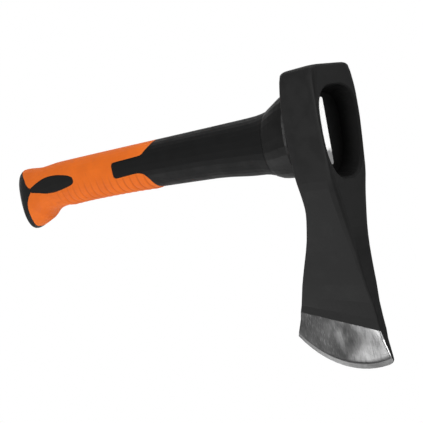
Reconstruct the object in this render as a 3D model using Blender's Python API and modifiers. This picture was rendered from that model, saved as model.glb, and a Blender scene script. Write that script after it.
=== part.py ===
"""Short-handled fire axe: a forged head wedged onto a moulded two-colour handle.

Lengths are in millimetres in the tables and functions below, and MM turns them
into Blender's metres where a mesh is made. The pieces are modelled around the
handle's axis:

    x  along the handle, out of the head's top, 0 at the head's top face
    y  across the head, + towards the poll (the blunt back), - towards the edge
    z  through the head, from cheek to cheek, 0 at the middle

An empty carries every piece and lays the axe on the flat of its lower cheek,
so the world's origin is the middle of that flat.
"""
import math

import bmesh
import bpy
from mathutils import Vector

MM = 0.001
GAP = 0.3                       # clearance between two pieces that touch

# --- head -------------------------------------------------------------------
POLL_Y = 33.0                   # flat of the poll, from the handle's axis
CHEEK_HALF = 15.5               # half the head's thickness at the cheek flats
FLAT_FROM, FLAT_TO = 8.0, 17.0  # y range of the cheek flat that the axe lies on
HEAD_DEPTH = 25.5               # top face to underside beside the eye
POLL_ROUND = 1.8                # rounding of the poll's rim
EDGE_RADIUS = 65.0              # radius of the curved cutting edge
EDGE_CENTRE = (-13.2, -57.2)
HEEL_X, TOE_X = -54.8, 10.8     # ends of the cutting edge
GRIND_HEEL_Y, GRIND_TOE_Y = -92.9, -101.3   # where the ground bit begins
GRIND_HALF = 2.6                # half thickness there
HONE_AT, HONE_HALF = 0.84, 0.95  # the narrow honed bevel along the edge
EYE_CHAMFER = 0.5               # 45 degrees, round the eye's mouth
TOE_FACET = 0.85                # rounding at the bit's ends, of the half thickness there
TOE_ROUND = 4.0                 # how far from the toe's corner its rounding begins
EYE_HALF_LENGTH, EYE_HALF_WIDTH = 23.2, 12.9
EYE_MID_Y = -0.8
EYE_NARROWING = 0.045           # the eye narrows towards the bit, per mm
EYE_POLL_END, EYE_BIT_END = 0.66, 0.86      # the lower, the blunter that end
EYE_TAPER = (0.8, 0.95)         # length and width at the underside, of those at the top

# --- handle -----------------------------------------------------------------
BUTT_X = -341.5
COLLAR_FRONT, COLLAR_BACK = -26.3, -45.4
CORE_TOP = -11.6                # end of the tenon, recessed in the eye
CORE_HALF_HEIGHT, CORE_HALF_WIDTH = 10.5, 6.5
CORE_END = -320.0
WEDGE_TOP, WEDGE_TIP = -11.0, -29.5
WEDGE_HALF, WEDGE_TIP_HALF = 1.95, 0.8
WEDGE_SPLAY = 0.25              # the wedge is thicker at the bit and thinner at the poll
WEDGE_LENGTH, WEDGE_TIP_LENGTH = 17.2, 13.5     # half lengths, poll to bit
WEDGE_MID_Y = 0.4
SLEEVE = 2.4                    # thickness of the soft sleeve
RIB_PITCH, RIB_HEIGHT = 8.0, 0.9       # rounded ribs, parted by narrow grooves
RIB_FROM, RIB_COUNT = -272.0, 14

# --- colours ----------------------------------------------------------------
PAINT_BLACK = (0.022, 0.023, 0.024, 1)
NYLON_BLACK = (0.014, 0.015, 0.016, 1)
PLASTIC_BLACK = (0.016, 0.017, 0.019, 1)
RUBBER_ORANGE = (0.80, 0.17, 0.035, 1)
WEDGE_WHITE = (0.85, 0.85, 0.82, 1)

RING = 32                       # points round a handle section


# --- curves -------------------------------------------------------------------
def smooth_curve(points):
    """A curve through (x, value) points that never overshoots them."""
    xs = [p[0] for p in points]
    ys = [p[1] for p in points]
    steps = [(ys[i + 1] - ys[i]) / (xs[i + 1] - xs[i]) for i in range(len(xs) - 1)]
    slopes = [steps[0]]
    for before, after in zip(steps, steps[1:]):
        rising = before * after > 0
        slopes.append(2 * before * after / (before + after) if rising else 0.0)
    slopes.append(steps[-1])

    def value(x):
        if x <= xs[0]:
            return ys[0]
        if x >= xs[-1]:
            return ys[-1]
        i = max(k for k in range(len(xs) - 1) if xs[k] <= x)
        width = xs[i + 1] - xs[i]
        t = (x - xs[i]) / width
        start = ys[i] * (1 + 2 * t) + slopes[i] * width * t
        end = ys[i + 1] * (3 - 2 * t) - slopes[i + 1] * width * (1 - t)
        return start * (1 - t) ** 2 + end * t ** 2
    return value


def power(value, exponent):
    """value to an exponent, keeping its sign."""
    return math.copysign(abs(value) ** exponent, value)


def spread(first, last, count):
    """count + 1 evenly spaced values from first to last."""
    return [first + (last - first) * i / count for i in range(count + 1)]


# Outlines of the head in side view, by distance along -y from the handle's axis.
UNDERSIDE = smooth_curve([(-33, -25.0), (0, -25.5), (18, -25.4), (26, -25.2), (36, -25.3),
                          (50, -29.3), (70, -38.2), (92.9, -47.9)])
TOP_SIDE = smooth_curve([(-33, 0.0), (10, 0.6), (45, 1.0), (70, 2.9), (101.3, 7.1)])
# Half thickness of the head in plan view.
CHEEK = smooth_curve([(-33, 13.4), (-31, 14.4), (-27, 15.1), (-FLAT_TO, CHEEK_HALF),
                      (-FLAT_FROM, CHEEK_HALF), (4, 14.9), (15, 14.1), (24, 13.5), (34, 11.5),
                      (60, 6.5), (80, 4.1), (92, GRIND_HALF), (102, GRIND_HALF)])
# Rounding of the cheeks' borders.
BORDER = smooth_curve([(-33, 4.6), (-27, 3.4), (-17, 2.0), (-8, 1.8), (18, 2.2), (30, 3.6),
                       (45, 3.2), (78, 1.0)])
# Outlines of the handle in side view, along x: back faces the poll, belly the edge.
BACK = smooth_curve([(BUTT_X, -2), (-341, 4), (-339.5, 9.4), (-337, 12.8), (-332, 14.2),
                     (-326, 14.1), (-314, 13.3), (-306, 13.1), (-274, 14.4), (-80, 15.1),
                     (-60, 15.3), (-52, 15.9), (-46, 17.1), (-41, 19.1), (-36, 21.6),
                     (-31, 23.7), (-26, 24.6)])
BELLY = smooth_curve([(BUTT_X, 3.5), (-341.1, 8), (-339.6, 14.5), (-337.2, 21.5), (-334.8, 27),
                      (-333, 30.9), (-330.8, 32.6), (-327.5, 31.8), (-314.3, 28.2),
                      (-309.8, 26.7), (-306, 24.3), (-301, 21.9), (-295.5, 20.1), (-288, 18.8),
                      (-268, 17.5), (-233, 16.0), (-174, 15.0), (-100, 15.2), (-80, 16.2),
                      (-68, 17.0), (-56, 17.3), (-48, 18.7), (-41, 20.4), (-34, 21.0),
                      (-26, 20.8)])
SIDE = smooth_curve([(BUTT_X, 2.2), (-341, 4.2), (-339.5, 6.2), (-337, 7.9), (-333, 9.7),
                     (-327, 11.3), (-318, 12.1), (-230, 12.0), (-150, 11.8), (-80, 12.2),
                     (-56, 12.6), (-46, 13.2), (-38, 14.0), (-26, 14.2)])


# --- mesh helpers -------------------------------------------------------------
def new_object(name, mesh, collection, material=None):
    """Wrap a mesh in an object, shade it smooth and put it in a collection."""
    mesh.shade_smooth()
    mesh.set_sharp_from_angle(angle=math.radians(32))
    if material:
        mesh.materials.append(material)
    obj = bpy.data.objects.new(name, mesh)
    collection.objects.link(obj)
    obj.parent = carrier
    return obj


def loft(name, rings):
    """A closed skin over rings of (x, y, z) points, with flat ends."""
    bm = bmesh.new()
    rows = [[bm.verts.new(Vector(p) * MM) for p in ring] for ring in rings]
    count = len(rows[0])
    for row, following in zip(rows, rows[1:]):
        for i in range(count):
            j = (i + 1) % count
            bm.faces.new((row[i], row[j], following[j], following[i]))
    bm.faces.new(rows[0])
    bm.faces.new(rows[-1])
    bmesh.ops.recalc_face_normals(bm, faces=bm.faces)
    mesh = bpy.data.meshes.new(name)
    bm.to_mesh(mesh)
    bm.free()
    return mesh


def plate(name, outline, z_low, z_high):
    """A flat outline of (x, y) points, drawn as a 2D curve and given its thickness."""
    curve = bpy.data.curves.new(name, "CURVE")
    curve.dimensions = "2D"
    curve.fill_mode = "BOTH"
    curve.extrude = (z_high - z_low) / 2 * MM
    spline = curve.splines.new("POLY")
    spline.points.add(len(outline) - 1)
    for point, (x, y) in zip(spline.points, outline):
        point.co = (x * MM, y * MM, 0, 1)
    spline.use_cyclic_u = True
    drawn = bpy.data.objects.new(name, curve)
    bpy.context.scene.collection.objects.link(drawn)
    evaluated = drawn.evaluated_get(bpy.context.evaluated_depsgraph_get())
    mesh = bpy.data.meshes.new_from_object(evaluated)
    bpy.data.objects.remove(drawn)
    bpy.data.curves.remove(curve)
    bm = bmesh.new()
    bm.from_mesh(mesh)
    bmesh.ops.remove_doubles(bm, verts=bm.verts, dist=1e-6)
    bmesh.ops.translate(bm, verts=bm.verts, vec=(0, 0, (z_low + z_high) / 2 * MM))
    bmesh.ops.recalc_face_normals(bm, faces=bm.faces)
    bm.to_mesh(mesh)
    bm.free()
    return mesh


def rounded(corners, radius, segments=5):
    """The outline through corners, each one rounded by an arc of about that radius."""
    outline = []
    for i, corner in enumerate(corners):
        here = Vector(corner)
        towards = [Vector(corners[i - 1]) - here, Vector(corners[(i + 1) % len(corners)]) - here]
        reach = min(radius, 0.45 * min(side.length for side in towards))
        start, end = (here + side.normalized() * reach for side in towards)
        for t in spread(0, 1, segments):
            point = start * (1 - t) ** 2 + here * (2 * t * (1 - t)) + end * t ** 2
            outline.append(point.to_tuple())
    return outline


def grown(outline, distance):
    """An outline of (x, y) points moved outwards by a distance."""
    points = [Vector(p) for p in outline]
    area = sum(a.x * b.y - a.y * b.x for a, b in zip(points, points[1:] + points[:1]))
    turn = math.copysign(1, area)
    moved = []
    for before, here, after in zip(points[-1:] + points[:-1], points, points[1:] + points[:1]):
        along = (after - before).normalized()
        moved.append((here + Vector((along.y, -along.x)) * distance * turn).to_tuple())
    return moved


def cut(obj, tool, operation="DIFFERENCE"):
    """Add an exact Boolean with a tool object."""
    modifier = obj.modifiers.new(f"{operation.lower()} {tool.name}", "BOOLEAN")
    modifier.solver = "EXACT"
    modifier.operation = operation
    modifier.object = tool


def guide(name, mesh):
    """A tool object: cutters and outlines, which are not pieces of the axe."""
    obj = new_object(name, mesh, cutters)
    obj.hide_render = True
    obj.display_type = "WIRE"
    return obj


def finish_material(name, colour, roughness, metallic=0.0):
    material = bpy.data.materials.new(name)
    material.use_nodes = True
    shader = material.node_tree.nodes["Principled BSDF"]
    shader.inputs["Base Color"].default_value = colour
    shader.inputs["Roughness"].default_value = roughness
    shader.inputs["Metallic"].default_value = metallic
    material.diffuse_color = colour
    return material


# --- the head -----------------------------------------------------------------
def eye_ring(x, shrink=0.0):
    """The egg-shaped outline of the eye at height x, its broad end at the poll."""
    depth = min(1, max(0, -x / HEAD_DEPTH))
    longer, wider = (1 + (taper - 1) * depth for taper in EYE_TAPER)
    ring = []
    for i in range(48):
        angle = math.tau * i / 48
        pointed = EYE_POLL_END if math.cos(angle) > 0 else EYE_BIT_END
        along = (EYE_HALF_LENGTH * longer - shrink) * power(math.cos(angle), pointed)
        width = EYE_HALF_WIDTH * wider - shrink + EYE_NARROWING * along
        ring.append((x, EYE_MID_Y + along, width * power(math.sin(angle), 0.7)))
    return ring


def edge_point(u):
    """A point on the cutting edge, from the heel at u = 0 to the toe at u = 1."""
    x = HEEL_X + (TOE_X - HEEL_X) * u
    rise = math.sqrt(EDGE_RADIUS ** 2 - (x - EDGE_CENTRE[0]) ** 2)
    return x, -(rise - EDGE_CENTRE[1])


def grind_point(u):
    """A point on the straight line where the ground bit begins."""
    y = GRIND_HEEL_Y + (GRIND_TOE_Y - GRIND_HEEL_Y) * u
    return UNDERSIDE(-y) + (TOP_SIDE(-y) - UNDERSIDE(-y)) * u, y


def body_point(u, y, inset=0.0):
    """A point between the underside and the top side of the head at y."""
    low, high = UNDERSIDE(-y) + inset, TOP_SIDE(-y) - inset
    return low + (high - low) * u, y


def head_section(point_at, half_at, border):
    """Half a section of the head: up the underside, over the cheek and down the top."""
    width = point_at(1)[0] - point_at(0)[0]
    turn = [math.radians(a) for a in (0, 22.5, 45, 67.5, 90)]
    corner = [(border * (1 - math.cos(a)), border * (1 - math.sin(a))) for a in turn]
    run = [(inward / width, drop) for inward, drop in corner]
    run += [(u, 0) for u in spread(border / width, 1 - border / width, 15)[1:-1]]
    run += [(1 - inward / width, drop) for inward, drop in reversed(corner)]
    section = [(*point_at(0), 0)]
    for u, drop in run:
        section.append((*point_at(u), max(0, half_at(u) - drop)))
    section.append((*point_at(1), 0))
    return section


def head_rows():
    """Sections from the poll, past the eye, to the cutting edge."""
    rows = []
    for angle in (0, 22.5, 45, 67.5, 90):
        y = POLL_Y - POLL_ROUND * (1 - math.cos(math.radians(angle)))
        inset = POLL_ROUND * (1 - math.sin(math.radians(angle)))
        half = CHEEK(-y) - inset
        border = BORDER(-y)
        rows.append(head_section(lambda u: body_point(u, y, inset), lambda u: half, border))
    for y in (28, 26, 23.5, 21, FLAT_TO, FLAT_FROM, 4, 0, -4, -8, -12, -16, -20, -24, -28, -31,
              -34, -37, -40, -44, -49, -54, -60, -66, -72, -78):
        rows.append(head_section(lambda u: body_point(u, y), lambda u: CHEEK(-y), BORDER(-y)))
    for t in (0.4, 0.75, 1.0):
        def sloped(u):
            return body_point(u, -78 + (grind_point(u)[1] + 78) * t)
        rows.append(head_section(sloped, lambda u: CHEEK(-sloped(u)[1]), 1.0))
    for t in (0.28, 0.56, HONE_AT, 1.0):
        def ground(u):
            start, end = grind_point(u), edge_point(u)
            return start[0] + (end[0] - start[0]) * t, start[1] + (end[1] - start[1]) * t
        if t <= HONE_AT:
            half = GRIND_HALF + (HONE_HALF - GRIND_HALF) * t / HONE_AT
        else:
            half = 0.0
        rows.append(head_section(ground, lambda u: half, TOE_FACET * half))
    return rows


def toe_offcut():
    """What is ground off the toe to round it, between the top side and the edge."""
    toe, near_toe = Vector(edge_point(1)), Vector(edge_point(0.9))
    corner = [grind_point(1), toe.to_tuple(), near_toe.to_tuple()]
    arc = rounded(corner, TOE_ROUND, 6)[7:14]
    outwards = (toe - (Vector(arc[0]) + Vector(arc[-1])) / 2).normalized() * 8
    beyond = [(Vector(end) + outwards).to_tuple() for end in (arc[-1], arc[0])]
    return arc + beyond


def make_head():
    bm = bmesh.new()
    rows = [[bm.verts.new(Vector(p) * MM) for p in row] for row in head_rows()]
    for row, following in zip(rows, rows[1:]):
        for i in range(len(row) - 1):
            bm.faces.new((row[i], following[i], following[i + 1], row[i + 1]))
    bm.faces.new(rows[0])
    bmesh.ops.remove_doubles(bm, verts=bm.verts, dist=1e-6)
    bmesh.ops.dissolve_degenerate(bm, edges=bm.edges, dist=1e-6)
    mesh = bpy.data.meshes.new("axe_head")
    bm.to_mesh(mesh)
    bm.free()
    head = new_object("axe_head", mesh, axe,
                      finish_material("painted steel", PAINT_BLACK, 0.5, 0.2))
    mirror = head.modifiers.new("other cheek", "MIRROR")
    mirror.use_axis = (False, False, True)
    mirror.use_clip = True
    mirror.merge_threshold = 1e-5
    heights = (-EYE_CHAMFER, -HEAD_DEPTH / 2, -HEAD_DEPTH, -HEAD_DEPTH - 8)
    mouth = [eye_ring(6, -6 - EYE_CHAMFER)]
    cut(head, guide("eye", loft("eye", mouth + [eye_ring(x) for x in heights])))
    cut(head, guide("toe offcut", plate("toe offcut", toe_offcut(), -5, 5)))
    return head


# --- the handle ---------------------------------------------------------------
def handle_ring(x, offset=0.0, ribbed=False):
    """A rounded handle section at x, its surface moved outwards by offset."""
    back, belly, side = BACK(x) + offset, BELLY(x) + offset, SIDE(x) + offset
    middle, half = (back - belly) / 2, (back + belly) / 2
    place = (x - RIB_FROM) / RIB_PITCH
    swell = 0.0
    if ribbed and 0 <= place <= RIB_COUNT:
        swell = RIB_HEIGHT * math.sin(math.pi * (place % 1)) ** 0.5
    ring = []
    for i in range(RING):
        angle = math.tau * i / RING
        up, out = power(math.cos(angle), 0.84), power(math.sin(angle), 0.84)
        proud = swell * max(0.0, -math.cos(angle))
        ring.append((x, middle + (half + proud) * up, (side + proud) * out))
    return ring


def handle_stations(first, last, ribbed=False):
    """x positions for handle sections, closer where the outline turns."""
    turns = [-341.1, -340.4, -339.4, -338.2, -336.6, -334.7, -332.7, -330.8, -328, -324, -319,
             -314, -311, -309, -307, -304, -301, -298, -294, -288, -280, -272, -255, -235, -215,
             -200, -180, -160, -140, -120, -100, -88, -80, -73, -68, -62, -57, -52.5, -49, -45.4]
    if ribbed:
        ribs = spread(RIB_FROM, RIB_FROM + RIB_PITCH * RIB_COUNT, 4 * RIB_COUNT)
        turns = [x for x in turns if x < ribs[0] or x > ribs[-1]] + ribs
    inside = [x for x in turns if first < x < last]
    return sorted([first, last] + inside)


def skin(name, first, last, offset=0.0, ribbed=False):
    """The handle's surface between two stations, moved outwards by offset."""
    stations = handle_stations(first, last, ribbed)
    return loft(name, [handle_ring(x, offset, ribbed) for x in stations])


def core_ring(x, grow=0.0):
    """A section of the core: the eye's shape in the head, an oval bar in the handle."""
    bar = []
    for i in range(48):
        angle = math.tau * i / 48
        bar.append(((CORE_HALF_HEIGHT + grow) * power(math.cos(angle), 0.8),
                    (CORE_HALF_WIDTH + grow) * power(math.sin(angle), 0.8)))
    shape = min(1, max(0, (x - COLLAR_BACK) / (-HEAD_DEPTH - 1 - COLLAR_BACK)))
    shape = shape * shape * (3 - 2 * shape)
    egg = eye_ring(x, GAP - grow)
    return [(x, b[0] + (e[1] - b[0]) * shape, b[1] + (e[2] - b[1]) * shape)
            for b, e in zip(bar, egg)]


def core_skin(name, first, last, grow=0.0):
    """The core's surface between two stations; grow makes the hole it sits in."""
    stations = [-42, -38.5, -35, -31.5, -28.5, -HEAD_DEPTH - 1]
    inside = [x for x in stations if first < x < last]
    return loft(name, [core_ring(x, grow) for x in sorted([first, last] + inside)])


def wedge_ring(x, grow=0.0):
    """The wedge and its kerf: long from poll to bit, thin from cheek to cheek."""
    t = (x - WEDGE_TIP) / (WEDGE_TOP - WEDGE_TIP)
    half = WEDGE_TIP_HALF + (WEDGE_HALF - WEDGE_TIP_HALF) * t
    thin, thick = half * (1 - WEDGE_SPLAY) + grow, half * (1 + WEDGE_SPLAY) + grow
    length = WEDGE_TIP_LENGTH + (WEDGE_LENGTH - WEDGE_TIP_LENGTH) * t + grow
    back, front = WEDGE_MID_Y + length, WEDGE_MID_Y - length
    corners = [(back, thin), (back, -thin), (front, -thick), (front, thick)]
    return [(x, y, z) for y, z in rounded(corners, thin * 0.9, 4)]


def make_core():
    core = new_object("handle_core", core_skin("handle_core", CORE_END, CORE_TOP), axe,
                      finish_material("glass filled nylon", NYLON_BLACK, 0.55))
    kerf = [wedge_ring(x, GAP) for x in (WEDGE_TIP - 0.5, WEDGE_TOP + 3)]
    cut(core, guide("kerf", loft("kerf", kerf)))
    wedge = loft("eye_wedge", [wedge_ring(x) for x in (WEDGE_TIP, WEDGE_TOP)])
    new_object("eye_wedge", wedge, axe, finish_material("white plastic", WEDGE_WHITE, 0.6))


def make_collar():
    """The guard under the head: a flared ring with a stepped rim."""
    profile = [(COLLAR_BACK + GAP, 0.0), (COLLAR_BACK + 0.8, 0.35), (-42, 0.4), (-38.5, 0.35),
               (-34, 0.3), (-30, 0.2), (COLLAR_FRONT - 1, 0.1), (COLLAR_FRONT, -0.6)]
    rings = [handle_ring(x, offset) for x, offset in profile]
    collar = new_object("neck_collar", loft("neck_collar", rings), axe,
                        finish_material("collar rubber", PLASTIC_BLACK, 0.65))
    cut(collar, tools["core hole"])


FORK = [(-40, 40), (-40, -40), (-155.5, -40), (-154.4, -12.5), (-155.4, -9.2), (-159.5, -5.2),
        (-166, -3.9), (-193.8, -5.2), (-194.8, 5.0), (-160, 6.2), (-155.5, 9.4),
        (-151.4, 12.6), (-150.6, 40)]
LEAF = [(-311.2, -1.6), (-311.2, -4.6), (-301, -5.4), (-288, -7.1), (-273, -7.0), (-259, -5.5),
        (-249.5, -4.0), (-245.8, -2.4), (-246.4, 0.6), (-252, 2.5), (-265, 4.2), (-279, 4.8),
        (-291, 3.8), (-301, 1.4)]
BUTT = [(-400, -60), (-400, 60), (-338, 40), (-336.6, 13.8), (-330, 10.8), (-322.5, 5.9),
        (-318.5, 1.8), (-314.5, -1), (-311.6, -1.5), (-311.6, -4.7), (-315.7, -7.6),
        (-318.9, -11.5), (-320.9, -16.4), (-321.4, -21.4), (-322.8, -26.3), (-325.6, -30.4),
        (-326, -60)]


def leaf_outline():
    """An oval with a tail that meets the butt cap: its first two corners stay sharp."""
    return LEAF[:2] + rounded(LEAF, 4, 2)[6:]


def make_tools():
    """Shapes that more than one piece is cut by."""
    reach = 40
    fork = rounded(FORK, 2.5, 3)
    tools["core hole"] = guide("core hole", core_skin("core hole", CORE_END - 1, -20, GAP))
    tools["neck"] = guide("neck", plate("neck", fork, -reach, reach))
    tools["fork"] = guide("fork", plate("fork", grown(fork, GAP), -reach, reach))
    butt = rounded(BUTT, 1.0, 2)
    tools["butt"] = guide("butt", plate("butt", butt, -reach, reach))
    tools["butt edge"] = guide("butt edge", plate("butt edge", grown(butt, GAP), -reach, reach))
    window = grown(leaf_outline(), GAP)
    tools["window"] = guide("window", plate("window", window, -reach, reach))
    for side, low, high in (("upper", 3, reach), ("lower", -reach, -3)):
        leaf = plate(f"leaf {side}", leaf_outline(), low, high)
        tools[f"leaf {side}"] = guide(f"leaf {side}", leaf)
    seat = skin("seat", -331, -60, GAP - SLEEVE)
    tools["seat"] = guide("seat", seat)


def make_jacket():
    """The hard body: a thick neck, a spine under the sleeve, and a tongue on each flank."""
    spine = skin("handle_jacket", -330, -62, -SLEEVE)
    jacket = new_object("handle_jacket", spine, axe,
                        finish_material("black plastic", PLASTIC_BLACK, 0.5))
    proud = guide("neck and tongues", skin("neck and tongues", -200, COLLAR_BACK))
    cut(proud, tools["neck"], "INTERSECT")
    cut(jacket, proud, "UNION")
    cut(jacket, tools["core hole"])


def make_sleeve():
    """The soft grip: a ribbed tube round the spine, open at the tongues and the leaves."""
    sleeve = new_object("grip_sleeve", skin("grip_sleeve", -340, -147, 0, True), axe,
                        finish_material("orange rubber", RUBBER_ORANGE, 0.6))
    for tool in ("fork", "butt edge", "window", "seat"):
        cut(sleeve, tools[tool])


def make_butt():
    """The hard cap round the end of the handle, and the leaf set into each flank."""
    cap = new_object("butt_cap", skin("butt_cap", BUTT_X, -305), axe,
                     finish_material("cap plastic", PLASTIC_BLACK, 0.45))
    cut(cap, tools["butt"], "INTERSECT")
    cut(cap, tools["seat"])
    for side in ("upper", "lower"):
        name = f"grip_inlay_{side}"
        inlay = new_object(name, skin(name, -320, -240), axe,
                           finish_material(f"inlay plastic {side}", PLASTIC_BLACK, 0.45))
        cut(inlay, tools[f"leaf {side}"], "INTERSECT")
        cut(inlay, tools["seat"])


for old in list(bpy.data.objects):
    bpy.data.objects.remove(old)
axe = bpy.data.collections.new("fire_axe")
cutters = bpy.data.collections.new("cutters")
for group in (axe, cutters):
    bpy.context.scene.collection.children.link(group)

# The origin of the world is the middle of the lower cheek's flat.
carrier = bpy.data.objects.new("axe_origin", None)
carrier.location = Vector((HEAD_DEPTH / 2, -(FLAT_FROM + FLAT_TO) / 2, CHEEK_HALF)) * MM
axe.objects.link(carrier)

tools = {}
make_tools()
make_head()
make_core()
make_collar()
make_jacket()
make_sleeve()
make_butt()
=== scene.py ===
"""Looks for the short fire axe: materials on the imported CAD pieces, a pale floor and light.

The frame, in metres: +X along the handle out of the head's top, +Y from the cutting edge
to the poll, +Z up out of the upper cheek. The axe lies on its lower cheek at z = 0.
"""
import math

import bpy
from mathutils import Euler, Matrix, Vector


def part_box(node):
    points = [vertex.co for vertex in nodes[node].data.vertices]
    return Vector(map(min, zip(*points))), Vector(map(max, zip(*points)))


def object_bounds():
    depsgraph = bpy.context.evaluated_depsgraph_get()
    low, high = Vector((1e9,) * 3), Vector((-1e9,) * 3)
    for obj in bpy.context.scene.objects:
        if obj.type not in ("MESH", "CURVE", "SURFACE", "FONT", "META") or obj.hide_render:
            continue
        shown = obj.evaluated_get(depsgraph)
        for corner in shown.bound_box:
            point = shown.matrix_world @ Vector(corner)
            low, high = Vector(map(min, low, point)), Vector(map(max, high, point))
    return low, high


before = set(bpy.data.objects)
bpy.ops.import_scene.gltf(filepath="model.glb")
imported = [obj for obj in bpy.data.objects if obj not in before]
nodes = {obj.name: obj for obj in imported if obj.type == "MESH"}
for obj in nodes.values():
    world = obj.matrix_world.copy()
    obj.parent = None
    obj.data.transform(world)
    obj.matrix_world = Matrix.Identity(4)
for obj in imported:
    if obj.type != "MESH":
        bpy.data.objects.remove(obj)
cad_bounds = [list(corner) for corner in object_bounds()]

MM = 0.001
MIDDLE_Z = (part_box("axe_head")[0].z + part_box("axe_head")[1].z) / 2
EYE_Y = -13.3 * MM              # the middle of the eye, and roughly of the handle

# The line on each cheek where the ground bit begins, from the heel to the toe.
GRIND_HEEL = Vector((-35.2, -105.4)) * MM
GRIND_TOE = Vector((19.9, -113.8)) * MM
# The cutting edge is an arc, and the narrow honed band follows it.
EDGE_CENTRE = Vector((-0.45, -69.7)) * MM
EDGE_RADIUS = 65 * MM
HONE_WIDTH = 3.0 * MM

# The grooves between the grip's ribs, on its belly side.
GROOVE_FROM, GROOVES_END = -259.25 * MM, -147.25 * MM
GROOVE_PITCH = 8 * MM

# The camera, solved from the outlines in the photo together with the shape.
CAMERA_PLACE = (0.31834, -0.02207, 0.34716)
CAMERA_TURN = (-14.083, 50.22, -14.724)     # degrees
CAMERA_SENSOR, CAMERA_LENS = 36, 76.596     # millimetres

# Each light's place from the middle of the axe, as the camera sees it (across, up, back),
# then its size in metres and its power in watts.
LIGHTS = {
    "top": ((-0.1, 0.9, 0.3), 0.7, 4),
    "key": ((-0.7, -0.05, 1.0), 0.5, 7.3),
    "low": ((-0.1, -0.9, 0.2), 0.6, 3),
    "side": ((0.8, -0.5, 0.2), 0.4, 2.0),
    "edge": ((-0.85, -0.6, -0.22), 0.3, 1.5),
}
FLOOR_HALF, FLOOR_Z = 3.0, -0.2 * MM        # just clear of the axe's flat underside
WORLD_LIGHT, WORLD_SEEN = 0.25, 1.0         # as light, and as the camera sees it


def grey(level):
    """A neutral colour, as linear values."""
    return (level, level, level, 1)


def shade(tone, factor):
    """A tone of three values made darker or lighter, as a colour."""
    return tuple(part * factor for part in tone) + (1,)


PAINT_DARK, PAINT_LIGHT, PAINT_WORN_AND_HIGHLIGHT, PAINT_NICK = map(grey, (0.0125, 0.0165, 0.05, 0.024))
EYE_PAINTED_SHADE = grey(0.009)                     # painted shade on the eye's wall, darker than the paint
STEEL_HEEL_SHADED, STEEL_TOE_LIT, STEEL_PAINTED_GLINT = map(grey, (0.045, 0.48, 0.9))
STEEL_STROKE, STEEL_SCRATCH = map(grey, (0.03, 0.4))
STEEL_HONED, STEEL_DARK_LINE = map(grey, (0.36, 0.05))
WEDGE_WHITE, WEDGE_SPECK, WEDGE_PAINTED_SHADOW = (0.93, 0.93, 0.92, 1), (0.5, 0.5, 0.48, 1), grey(0.22)
WEDGE_GLOW = 0.75
ORANGE_DEEP, ORANGE_BRIGHT = (0.79, 0.15, 0.01, 1), (0.87, 0.175, 0.014, 1)
ORANGE_HANDLED, ORANGE_RUBBED_AND_SHEEN = (0.5, 0.1, 0.03, 1), (0.9, 0.26, 0.07, 1)
# painted shade in the grip's grooves
GROOVE_SHADE = (0.42, 0.06, 0.004, 1)


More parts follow.
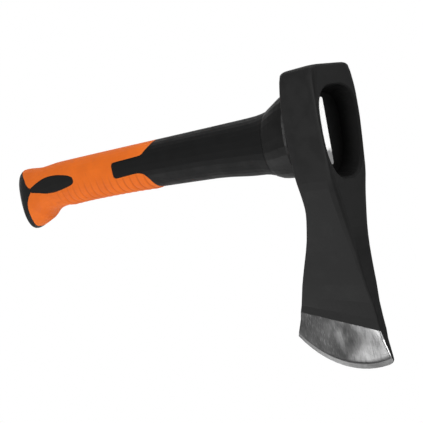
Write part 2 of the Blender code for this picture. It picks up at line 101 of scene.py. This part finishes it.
# --- node helpers -------------------------------------------------------------
class Surface:
    """A Principled material that is built up one step at a time."""

    def __init__(self, name, **values):
        self.material = bpy.data.materials.new(name)
        self.material.use_nodes = True
        self.tree = self.material.node_tree
        self.shader = self.tree.nodes["Principled BSDF"]
        for socket, value in values.items():
            self.shader.inputs[socket.replace("_", " ")].default_value = value
        self.place = self.node("ShaderNodeTexCoord").outputs["Object"]
        self.normal = None

    def node(self, kind, **settings):
        made = self.tree.nodes.new(kind)
        for name, value in settings.items():
            setattr(made, name, value)
        return made

    def link(self, source, socket):
        """Connect an output, or set a plain value."""
        if isinstance(source, bpy.types.NodeSocket):
            self.tree.links.new(source, socket)
        else:
            socket.default_value = source

    def stretched(self, x, y, z):
        """Object coordinates scaled along the axes."""
        mapping = self.node("ShaderNodeMapping")
        mapping.inputs["Scale"].default_value = (x, y, z)
        self.link(self.place, mapping.inputs["Vector"])
        return mapping.outputs["Vector"]

    def noise(self, size, detail=3.0, roughness=0.55, place=None):
        """Noise whose features are about size across, 0 to 1."""
        made = self.node("ShaderNodeTexNoise")
        self.link(place or self.place, made.inputs["Vector"])
        made.inputs["Scale"].default_value = 1 / size
        made.inputs["Detail"].default_value = detail
        made.inputs["Roughness"].default_value = roughness
        return made.outputs["Fac"]

    def math(self, operation, *values):
        """One arithmetic step."""
        made = self.node("ShaderNodeMath", operation=operation)
        for value, socket in zip(values, made.inputs):
            self.link(value, socket)
        return made.outputs["Value"]

    def times(self, first, second):
        return self.math("MULTIPLY", first, second)

    def span(self, value, low, high, to_low=0.0, to_high=1.0, smooth=True):
        """value from low..high to to_low..to_high, held at the ends."""
        made = self.node("ShaderNodeMapRange")
        made.interpolation_type = "SMOOTHSTEP" if smooth else "LINEAR"
        for source, socket in zip((value, low, high, to_low, to_high), made.inputs):
            self.link(source, socket)
        return made.outputs["Result"]

    def uneven(self, noise, to_low=0.0, to_high=1.0):
        """The middle of a noise's range, spread over to_low..to_high."""
        return self.span(noise, 0.3, 0.7, to_low, to_high)

    def mix(self, factor, first, second):
        """A blend of two colours."""
        made = self.node("ShaderNodeMix", data_type="RGBA")
        self.link(factor, made.inputs["Factor"])
        self.link(first, made.inputs["A"])
        self.link(second, made.inputs["B"])
        return made.outputs["Result"]

    def bump(self, height, distance):
        """Add relief: height 0 to 1 is worth distance, in metres."""
        made = self.node("ShaderNodeBump")
        made.inputs["Strength"].default_value = 1.0
        made.inputs["Distance"].default_value = distance
        self.link(height, made.inputs["Height"])
        if self.normal:
            self.link(self.normal, made.inputs["Normal"])
        self.normal = made.outputs["Normal"]
        self.link(self.normal, self.shader.inputs["Normal"])

    def set(self, **sources):
        """Feed the shader's own sockets, and return the material."""
        for socket, source in sources.items():
            self.link(source, self.shader.inputs[socket.replace("_", " ")])
        return self.material

    def part(self, vector, name):
        """One of a vector's three parts."""
        parts = self.node("ShaderNodeSeparateXYZ")
        self.link(vector, parts.inputs["Vector"])
        return parts.outputs[name]

    def axis(self, name):
        """The x, y or z coordinate in the frame."""
        return self.part(self.place, name)

    def normal_axis(self, name):
        """The x, y or z part of the surface's true normal."""
        return self.part(self.node("ShaderNodeNewGeometry").outputs["True Normal"], name)

    def edges(self, radius):
        """Where the shape turns sharply within a radius, 0 to 1."""
        bevel = self.node("ShaderNodeBevel", samples=8)
        bevel.inputs["Radius"].default_value = radius
        across = self.node("ShaderNodeVectorMath", operation="DOT_PRODUCT")
        self.link(bevel.outputs["Normal"], across.inputs[0])
        self.link(self.node("ShaderNodeNewGeometry").outputs["Normal"], across.inputs[1])
        return self.span(across.outputs["Value"], 0.99, 0.92)


# --- materials ------------------------------------------------------------------
def ground_mask(s, x, y, upright):
    """Where the cheeks are ground bare: past the grinding line, which wavers a little."""
    along = (GRIND_TOE - GRIND_HEEL).normalized()
    away = Vector((along.y, -along.x))
    past = s.math("ADD", s.times(x, away.x), s.times(y, away.y))
    past = s.math("ADD", past, -away.dot(GRIND_HEEL))
    past = s.math("ADD", past, s.uneven(s.noise(3 * MM, 4), -0.12 * MM, 0.12 * MM))
    on_cheek = s.span(upright, 0.55, 0.7)
    return s.times(s.span(past, -0.1 * MM, 0.15 * MM), on_cheek)


def behind_edge(s, x, y):
    """How far a point lies behind the cutting edge's arc."""
    dx = s.math("SUBTRACT", x, EDGE_CENTRE.x)
    dy = s.math("SUBTRACT", y, EDGE_CENTRE.y)
    radius = s.math("SQRT", s.math("ADD", s.times(dx, dx), s.times(dy, dy)))
    return s.math("SUBTRACT", EDGE_RADIUS, radius)


def eye_shade_mask(s, y):
    """Where the surface faces the middle of the eye, as only the eye's wall does."""
    across = s.times(s.normal_axis("Y"), s.math("SUBTRACT", y, EYE_Y))
    upwards = s.times(s.normal_axis("Z"), s.math("SUBTRACT", s.axis("Z"), MIDDLE_Z))
    return s.span(s.math("ADD", across, upwards), -2 * MM, -4 * MM)


def paint_colour(s, scale, eye_shade):
    """Black paint over forging scale, nicked, made paler along the borders by wear and a painted
    highlight, and darkened inside the eye by painted shade.
    """
    paint = s.mix(s.span(scale, 0.35, 0.65), PAINT_DARK, PAINT_LIGHT)
    # Paler along the borders: partly paint thinned by wear, partly a painted highlight.
    wear_and_highlight = s.times(s.edges(0.8 * MM), s.span(s.noise(4 * MM, 4, 0.65), 0.4, 0.65))
    paint = s.mix(s.times(wear_and_highlight, 0.5), paint, PAINT_WORN_AND_HIGHLIGHT)
    nicks = s.span(s.noise(1.1 * MM, 3), 0.7, 0.76, 0, 0.35)
    paint = s.mix(nicks, paint, PAINT_NICK)
    # Painted shade: the eye's wall made darker than the paint.
    return s.mix(eye_shade, paint, EYE_PAINTED_SHADE)


def steel_colour(s, x, y, upright, clouds, scratches):
    """Ground steel: a painted reflection darkens it towards the heel; belt marks, a dark line
    behind the honed band, and the honed band.
    """
    # Painted reflection: darker towards the heel, lighter towards the toe, with random clouds.
    toe_light_and_clouds = s.math("ADD", s.span(x, GRIND_HEEL.x, GRIND_TOE.x, smooth=False),
                        s.span(clouds, 0.25, 0.75, -0.14, 0.14, smooth=False))
    steel = s.mix(s.span(toe_light_and_clouds, 0.38, 1.1), STEEL_HEEL_SHADED, STEEL_TOE_LIT)
    strokes = s.noise(1.4 * MM, 4, 0.65, s.stretched(1, 0.22, 1))
    steel = s.mix(s.span(strokes, 0.4, 0.75, 0, 0.45), steel, STEEL_STROKE)
    steel = s.mix(s.span(scratches, 0.5, 0.8, 0, 0.25), steel, STEEL_SCRATCH)

    # A painted highlight along the rounded border at the toe; none at the heel.
    toe_glint = s.times(s.span(upright, 0.95, 0.88), s.span(x, 0, 10 * MM))
    steel = s.mix(toe_glint, steel, STEEL_PAINTED_GLINT)

    behind = behind_edge(s, x, y)
    honed = s.span(behind, HONE_WIDTH, HONE_WIDTH - 0.3 * MM)
    # A dark line just behind the honed band.
    dark_line = s.times(s.span(behind, HONE_WIDTH + 2.2 * MM, HONE_WIDTH),
                   s.span(behind, HONE_WIDTH - 0.7 * MM, HONE_WIDTH - 0.1 * MM))
    steel = s.mix(s.times(honed, 0.85), steel, STEEL_HONED)
    return s.mix(s.times(dark_line, 0.8), steel, STEEL_DARK_LINE)


def head_material():
    """Satin black paint over forged steel, ground bare along the bit."""
    s = Surface("head steel", Specular_IOR_Level=0.18)
    x, y = s.axis("X"), s.axis("Y")
    upright = s.math("ABSOLUTE", s.normal_axis("Z"))
    bare = ground_mask(s, x, y, upright)
    painted = s.math("SUBTRACT", 1, bare)

    scale = s.noise(9 * MM, 4)                  # left by forging, and felt through the paint
    peel = s.noise(0.7 * MM, 2)                 # the paint's own orange peel
    scratches = s.noise(0.35 * MM, 3, 0.6, s.stretched(1, 0.07, 1))
    clouds = s.noise(11 * MM, 3, 0.5, s.stretched(1, 0.8, 1))
    paint = paint_colour(s, scale, eye_shade_mask(s, y))
    steel = steel_colour(s, x, y, upright, clouds, scratches)

    s.bump(s.times(scale, painted), 0.06 * MM)
    s.bump(s.times(peel, painted), 0.02 * MM)
    s.bump(s.times(scratches, bare), 0.02 * MM)
    dull = s.uneven(scale, 0.46, 0.58)
    brushed = s.uneven(clouds, 0.42, 0.3)
    roughness = s.math("ADD", s.times(dull, painted), s.times(brushed, bare))
    return s.set(Base_Color=s.mix(bare, paint, steel), Roughness=roughness, Metallic=bare)


def moulded_black(name, tone, roughness, grain, relief, specular):
    """Moulded black plastic with a spark-eroded grain, slight scuffs, and edges made paler by a
    painted sheen.

    The grain's size and its relief are in metres.
    """
    s = Surface(name, Specular_IOR_Level=specular)
    broad = s.noise(14 * MM, 4, 0.6)
    s.bump(s.noise(grain, 2), relief)
    s.bump(broad, 0.05 * MM)
    colour = s.mix(s.uneven(broad), shade(tone, 0.8), shade(tone, 1.25))
    scuffs = s.noise(2.5 * MM, 5, 0.7, s.stretched(0.25, 1, 1))
    scuff_and_sheen = shade(tone, 2.2)
    colour = s.mix(s.span(scuffs, 0.6, 0.72, 0, 0.6), colour, scuff_and_sheen)
    # Painted sheen: the edges made paler.
    colour = s.mix(s.times(s.edges(0.5 * MM), 0.6), colour, scuff_and_sheen)
    return s.set(Base_Color=colour, Roughness=s.uneven(broad, roughness - 0.05, roughness + 0.06))


def wedge_material():
    """White plastic, hammered, with painted shadow greying it towards its bit end.

    It glows a little, because in the photo it is as bright as the ground behind it.
    """
    s = Surface("wedge plastic", Roughness=0.5, Emission_Strength=WEDGE_GLOW)
    bit_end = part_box("eye_wedge")[0].y
    # Painted shadow: grey towards the bit end, with a wavering border.
    waver = s.span(s.noise(2 * MM), 0, 1, -1 * MM, 1 * MM)
    shadowed_end = s.span(s.math("ADD", s.axis("Y"), waver), bit_end + 9 * MM, bit_end + 6 * MM)
    colour = s.mix(shadowed_end, WEDGE_WHITE, WEDGE_PAINTED_SHADOW)
    specks = s.span(s.noise(0.8 * MM, 3), 0.62, 0.7, 0, 0.5)
    colour = s.mix(specks, colour, WEDGE_SPECK)
    s.bump(s.noise(1.2 * MM, 3), 0.1 * MM)
    return s.set(Base_Color=colour, Emission_Color=colour)


def groove_shade(s):
    """Painted shade in the grooves between the ribs, darker towards the neck."""
    x = s.axis("X")
    count = s.math("DIVIDE", s.math("SUBTRACT", x, GROOVE_FROM), GROOVE_PITCH)
    centred = s.math("SUBTRACT", s.math("FRACT", s.math("ADD", count, 0.5)), 0.5)
    groove = s.span(s.math("ABSOLUTE", centred), 0.2, 0.02)
    on_belly = s.span(s.axis("Y"), EYE_Y - 1 * MM, EYE_Y - 8 * MM)
    among_ribs = s.times(s.span(x, GROOVE_FROM - 2 * MM, GROOVE_FROM),
                         s.span(x, GROOVES_END + 2 * MM, GROOVES_END))
    strength = s.span(x, GROOVE_FROM, GROOVES_END, 0.2, 0.45, smooth=False)
    return s.times(s.times(s.times(groove, on_belly), among_ribs), strength)


def rubber_orange():
    """Soft orange grip: fine matt grain, darker where it is handled, paler along its edges
    through rubbing wear and a painted sheen.
    """
    s = Surface("orange rubber", Specular_IOR_Level=0.2)
    broad = s.noise(20 * MM, 3, 0.6)
    colour = s.mix(s.uneven(broad), ORANGE_DEEP, ORANGE_BRIGHT)
    smudge = s.span(s.noise(6 * MM, 5, 0.65), 0.58, 0.75, 0, 0.25)
    colour = s.mix(smudge, colour, ORANGE_HANDLED)
    # Painted shade in the grooves between the ribs.
    colour = s.mix(groove_shade(s), colour, GROOVE_SHADE)
    # Paler along the edges: partly rubbing wear, partly a painted sheen.
    rub_and_sheen = s.times(s.edges(0.7 * MM), s.span(s.noise(5 * MM, 3), 0.35, 0.65, 0.1, 0.4))
    colour = s.mix(rub_and_sheen, colour, ORANGE_RUBBED_AND_SHEEN)
    s.bump(s.noise(0.35 * MM, 2), 0.02 * MM)
    return s.set(Base_Color=colour, Roughness=s.uneven(broad, 0.55, 0.68))


def dress(node, material):
    """Give a CAD node its material."""
    nodes[node].data.materials.clear()
    nodes[node].data.materials.append(material)


# Each black moulding: its tone, roughness, grain and relief in millimetres, and specular.
MOULDINGS = {
    "handle_core": ("nylon core", (0.0045, 0.0045, 0.0045), 0.6, 0.5, 0.05, 0.25),
    "neck_collar": ("collar", (0.003, 0.003, 0.003), 0.44, 0.4, 0.025, 0.3),
    "handle_jacket": ("jacket", (0.003, 0.0032, 0.0033), 0.55, 0.3, 0.02, 0.2),
    "butt_cap": ("cap", (0.005, 0.005, 0.005), 0.45, 0.3, 0.015, 0.2),
    "grip_inlay_upper": ("inlay upper", (0.005, 0.005, 0.0048), 0.5, 0.3, 0.02, 0.2),
    "grip_inlay_lower": ("inlay lower", (0.005, 0.005, 0.0048), 0.5, 0.3, 0.02, 0.2),
}
for moulding, (name, tone, roughness, grain, relief, specular) in MOULDINGS.items():
    dress(moulding, moulded_black(name, tone, roughness, grain * MM, relief * MM, specular))
dress("axe_head", head_material())
dress("eye_wedge", wedge_material())
dress("grip_sleeve", rubber_orange())


# --- stage ------------------------------------------------------------------------
def make_floor():
    """A pale floor that is an even white to the camera, as the photo's ground is."""
    mesh = bpy.data.meshes.new("floor")
    signs = [(-1, -1), (1, -1), (1, 1), (-1, 1)]
    corners = [(FLOOR_HALF * across, FLOOR_HALF * up, 0) for across, up in signs]
    mesh.from_pydata(corners, [], [(0, 1, 2, 3)])
    floor = bpy.data.objects.new("floor", mesh)
    bpy.context.scene.collection.objects.link(floor)
    floor.location.z = FLOOR_Z
    s = Surface("floor", Roughness=0.9, Specular_IOR_Level=0.0, Emission_Color=grey(1))
    seen = s.node("ShaderNodeLightPath").outputs["Is Camera Ray"]
    colour = s.mix(seen, grey(0.8), grey(0))
    mesh.materials.append(s.set(Base_Color=colour, Emission_Strength=seen))


def make_world():
    """Soft light from all round, white to the camera."""
    world = bpy.data.worlds.new("studio")
    world.use_nodes = True
    tree = world.node_tree
    background = tree.nodes["Background"]
    background.inputs["Color"].default_value = grey(1)
    seen = tree.nodes.new("ShaderNodeLightPath")
    level = tree.nodes.new("ShaderNodeMapRange")
    level.inputs["To Min"].default_value = WORLD_LIGHT
    level.inputs["To Max"].default_value = WORLD_SEEN
    tree.links.new(seen.outputs["Is Camera Ray"], level.inputs["Value"])
    tree.links.new(level.outputs["Result"], background.inputs["Strength"])
    bpy.context.scene.world = world


def make_camera():
    """The camera, at the photo's place and angle."""
    data = bpy.data.cameras.new("camera")
    data.sensor_width = CAMERA_SENSOR
    data.lens = CAMERA_LENS
    camera = bpy.data.objects.new("camera", data)
    camera.location = CAMERA_PLACE
    camera.rotation_euler = Euler([math.radians(angle) for angle in CAMERA_TURN])
    bpy.context.scene.collection.objects.link(camera)
    bpy.context.scene.camera = camera
    return camera


def make_light(name, camera, place, size, power):
    """A square soft light, placed in the camera's own directions and aimed at the axe."""
    middle = (Vector(cad_bounds[0]) + Vector(cad_bounds[1])) / 2
    turn = camera.rotation_euler.to_matrix()
    data = bpy.data.lights.new(name, "AREA")
    data.shape = "SQUARE"
    data.size = size
    data.energy = power
    light = bpy.data.objects.new(name, data)
    light.location = middle + turn @ Vector(place)
    light.rotation_mode = "QUATERNION"
    light.rotation_quaternion = (middle - light.location).to_track_quat("-Z", "Y")
    bpy.context.scene.collection.objects.link(light)


make_floor()
make_world()
camera = make_camera()
for name, (place, size, power) in LIGHTS.items():
    make_light(name, camera, place, size, power)
bpy.context.scene.view_settings.view_transform = "Standard"
